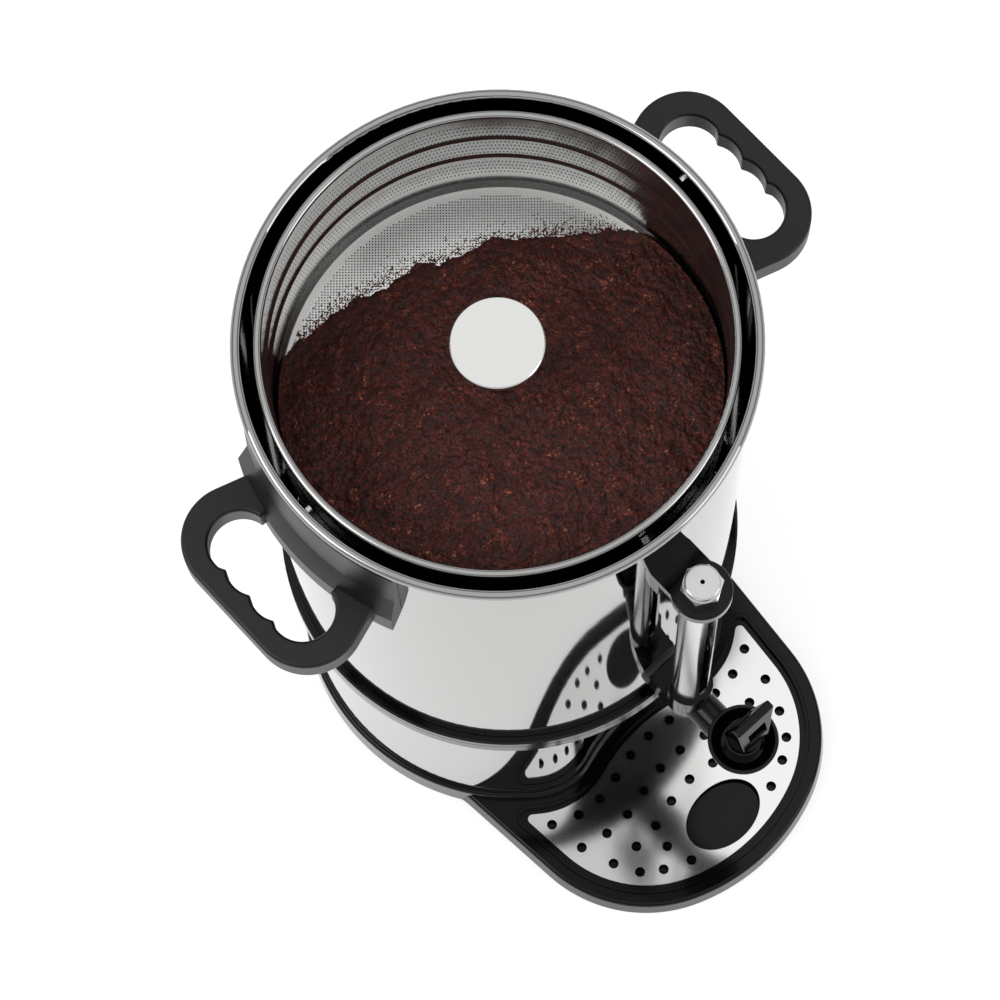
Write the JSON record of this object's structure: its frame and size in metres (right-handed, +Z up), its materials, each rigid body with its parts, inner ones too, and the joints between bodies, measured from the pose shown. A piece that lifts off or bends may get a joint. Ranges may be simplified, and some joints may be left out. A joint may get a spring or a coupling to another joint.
{
  "type": "coffee urn",
  "caption": "Large round percolating coffee urn with lift-out filter basket, level gauge, turning tap, drip tray and two side carrying handles.",
  "frame": {"origin": "on the urn's axis, in the plane that the rubber feet stand on", "axes": "+Z up along the urn's axis, the tap and drip tray towards -Y, the two carrying handles along X"},
  "size_m": [0.3818, 0.3731, 0.5597],
  "materials": {
    "black_gloss": "glossy black moulding",
    "black_matt": "satin black moulding",
    "foot_rubber": "matt rubber",
    "seal_rubber": "soft food-safe seal",
    "polished_steel": "polished stainless sheet",
    "mirror_steel": "mirror polished stainless sheet",
    "spun_steel": "turned with fine rings",
    "filter_steel": "perforated stainless sheet",
    "plain_steel": "plain stainless",
    "fastener_steel": "bright fasteners",
    "chromed": "bright chromed brass",
    "cast_aluminium": "cast",
    "white_plastic": "natural moulding",
    "gauge_glass": "clear tube",
    "pin_brass": "plated brass",
    "lamp_lens": "tinted lens",
    "coffee": "loose ground coffee"
  },
  "bodies": {
    "root": {"base_moulding": "black_gloss", "tray_moulding": "black_gloss", "tray_floor": "black_gloss", "rubber_feet": "foot_rubber", "bottom_cover": "plain_steel", "bottom_screws": "fastener_steel", "housing_skirt": "polished_steel", "support_band": "black_gloss", "tank": "polished_steel", "tank_floor": "polished_steel", "well_plate": "plain_steel", "lid_lock_pins": "fastener_steel", "handle_right": "black_matt", "handle_left": "black_matt", "handle_brackets": "plain_steel", "handle_screws": "fastener_steel", "outlet_fitting": "black_gloss", "outlet_gasket": "seal_rubber", "tank_nut": "fastener_steel", "sight_glass": "gauge_glass", "guard_tube": "chromed", "gauge_seals": "seal_rubber", "gauge_bracket": "black_gloss", "bracket_screw": "fastener_steel", "gauge_nut": "chromed", "gauge_cap": "chromed", "tap_body": "black_gloss", "tap_bonnet": "black_gloss", "tap_stem_seal": "seal_rubber", "heater_plate": "cast_aluminium", "heater_element": "plain_steel", "keep_warm_element": "plain_steel", "thermostat": "white_plastic", "boil_dry_cutout": "white_plastic", "housing_studs": "fastener_steel", "stud_nuts": "fastener_steel", "terminal_block": "white_plastic", "mains_inlet": "black_matt", "inlet_pins": "pin_brass", "rocker_frame": "black_matt", "indicator_lamps": "lamp_lens"},
    "tap_lever": {"tap_handle": "black_gloss", "tap_plug": "white_plastic"},
    "drip_pan": {"drip_pan": "black_gloss"},
    "drip_plate": {"drip_plate": "mirror_steel"},
    "riser": {"riser_tube": "plain_steel", "riser_foot": "plain_steel", "riser_collar": "plain_steel"},
    "pump_valve": {"pump_valve_disc": "plain_steel"},
    "basket": {"basket_wall": "filter_steel", "basket_bottom": "filter_steel", "basket_centre_tube": "filter_steel", "coffee_grounds": "coffee"},
    "spreader": {"spreader_cap": "spun_steel"},
    "switch_rocker": {"rocker": "black_gloss"}
  },
  "joints": [
    {"name": "tap_turn", "type": "hinge", "parent": "root", "child": "tap_lever", "pos_m": [0, -0.2005, 0.237], "axis": [0, 0, 1], "range_deg": [-90, 0]},
    {"name": "drip_pan_lift", "type": "slide", "parent": "root", "child": "drip_pan", "axis": [0, 0, 1], "range_m": [0, 0.06]},
    {"name": "drip_plate_lift", "type": "slide", "parent": "drip_pan", "child": "drip_plate", "axis": [0, 0, 1], "range_m": [0, 0.04]},
    {"name": "riser_lift", "type": "slide", "parent": "root", "child": "riser", "axis": [0, 0, 1], "range_m": [0, 0.36]},
    {"name": "pump_valve_lift", "type": "slide", "parent": "riser", "child": "pump_valve", "axis": [0, 0, 1], "range_m": [0, 0.0025]},
    {"name": "basket_lift", "type": "slide", "parent": "riser", "child": "basket", "axis": [0, 0, 1], "range_m": [0, 0.12]},
    {"name": "spreader_lift", "type": "slide", "parent": "basket", "child": "spreader", "axis": [0, 0, 1], "range_m": [0, 0.05]},
    {"name": "switch_rock", "type": "hinge", "parent": "root", "child": "switch_rocker", "pos_m": [0.11964, -0.05579, 0.092], "axis": [0.4226, 0.9063, 0], "range_deg": [-16, 0]}
  ]
}
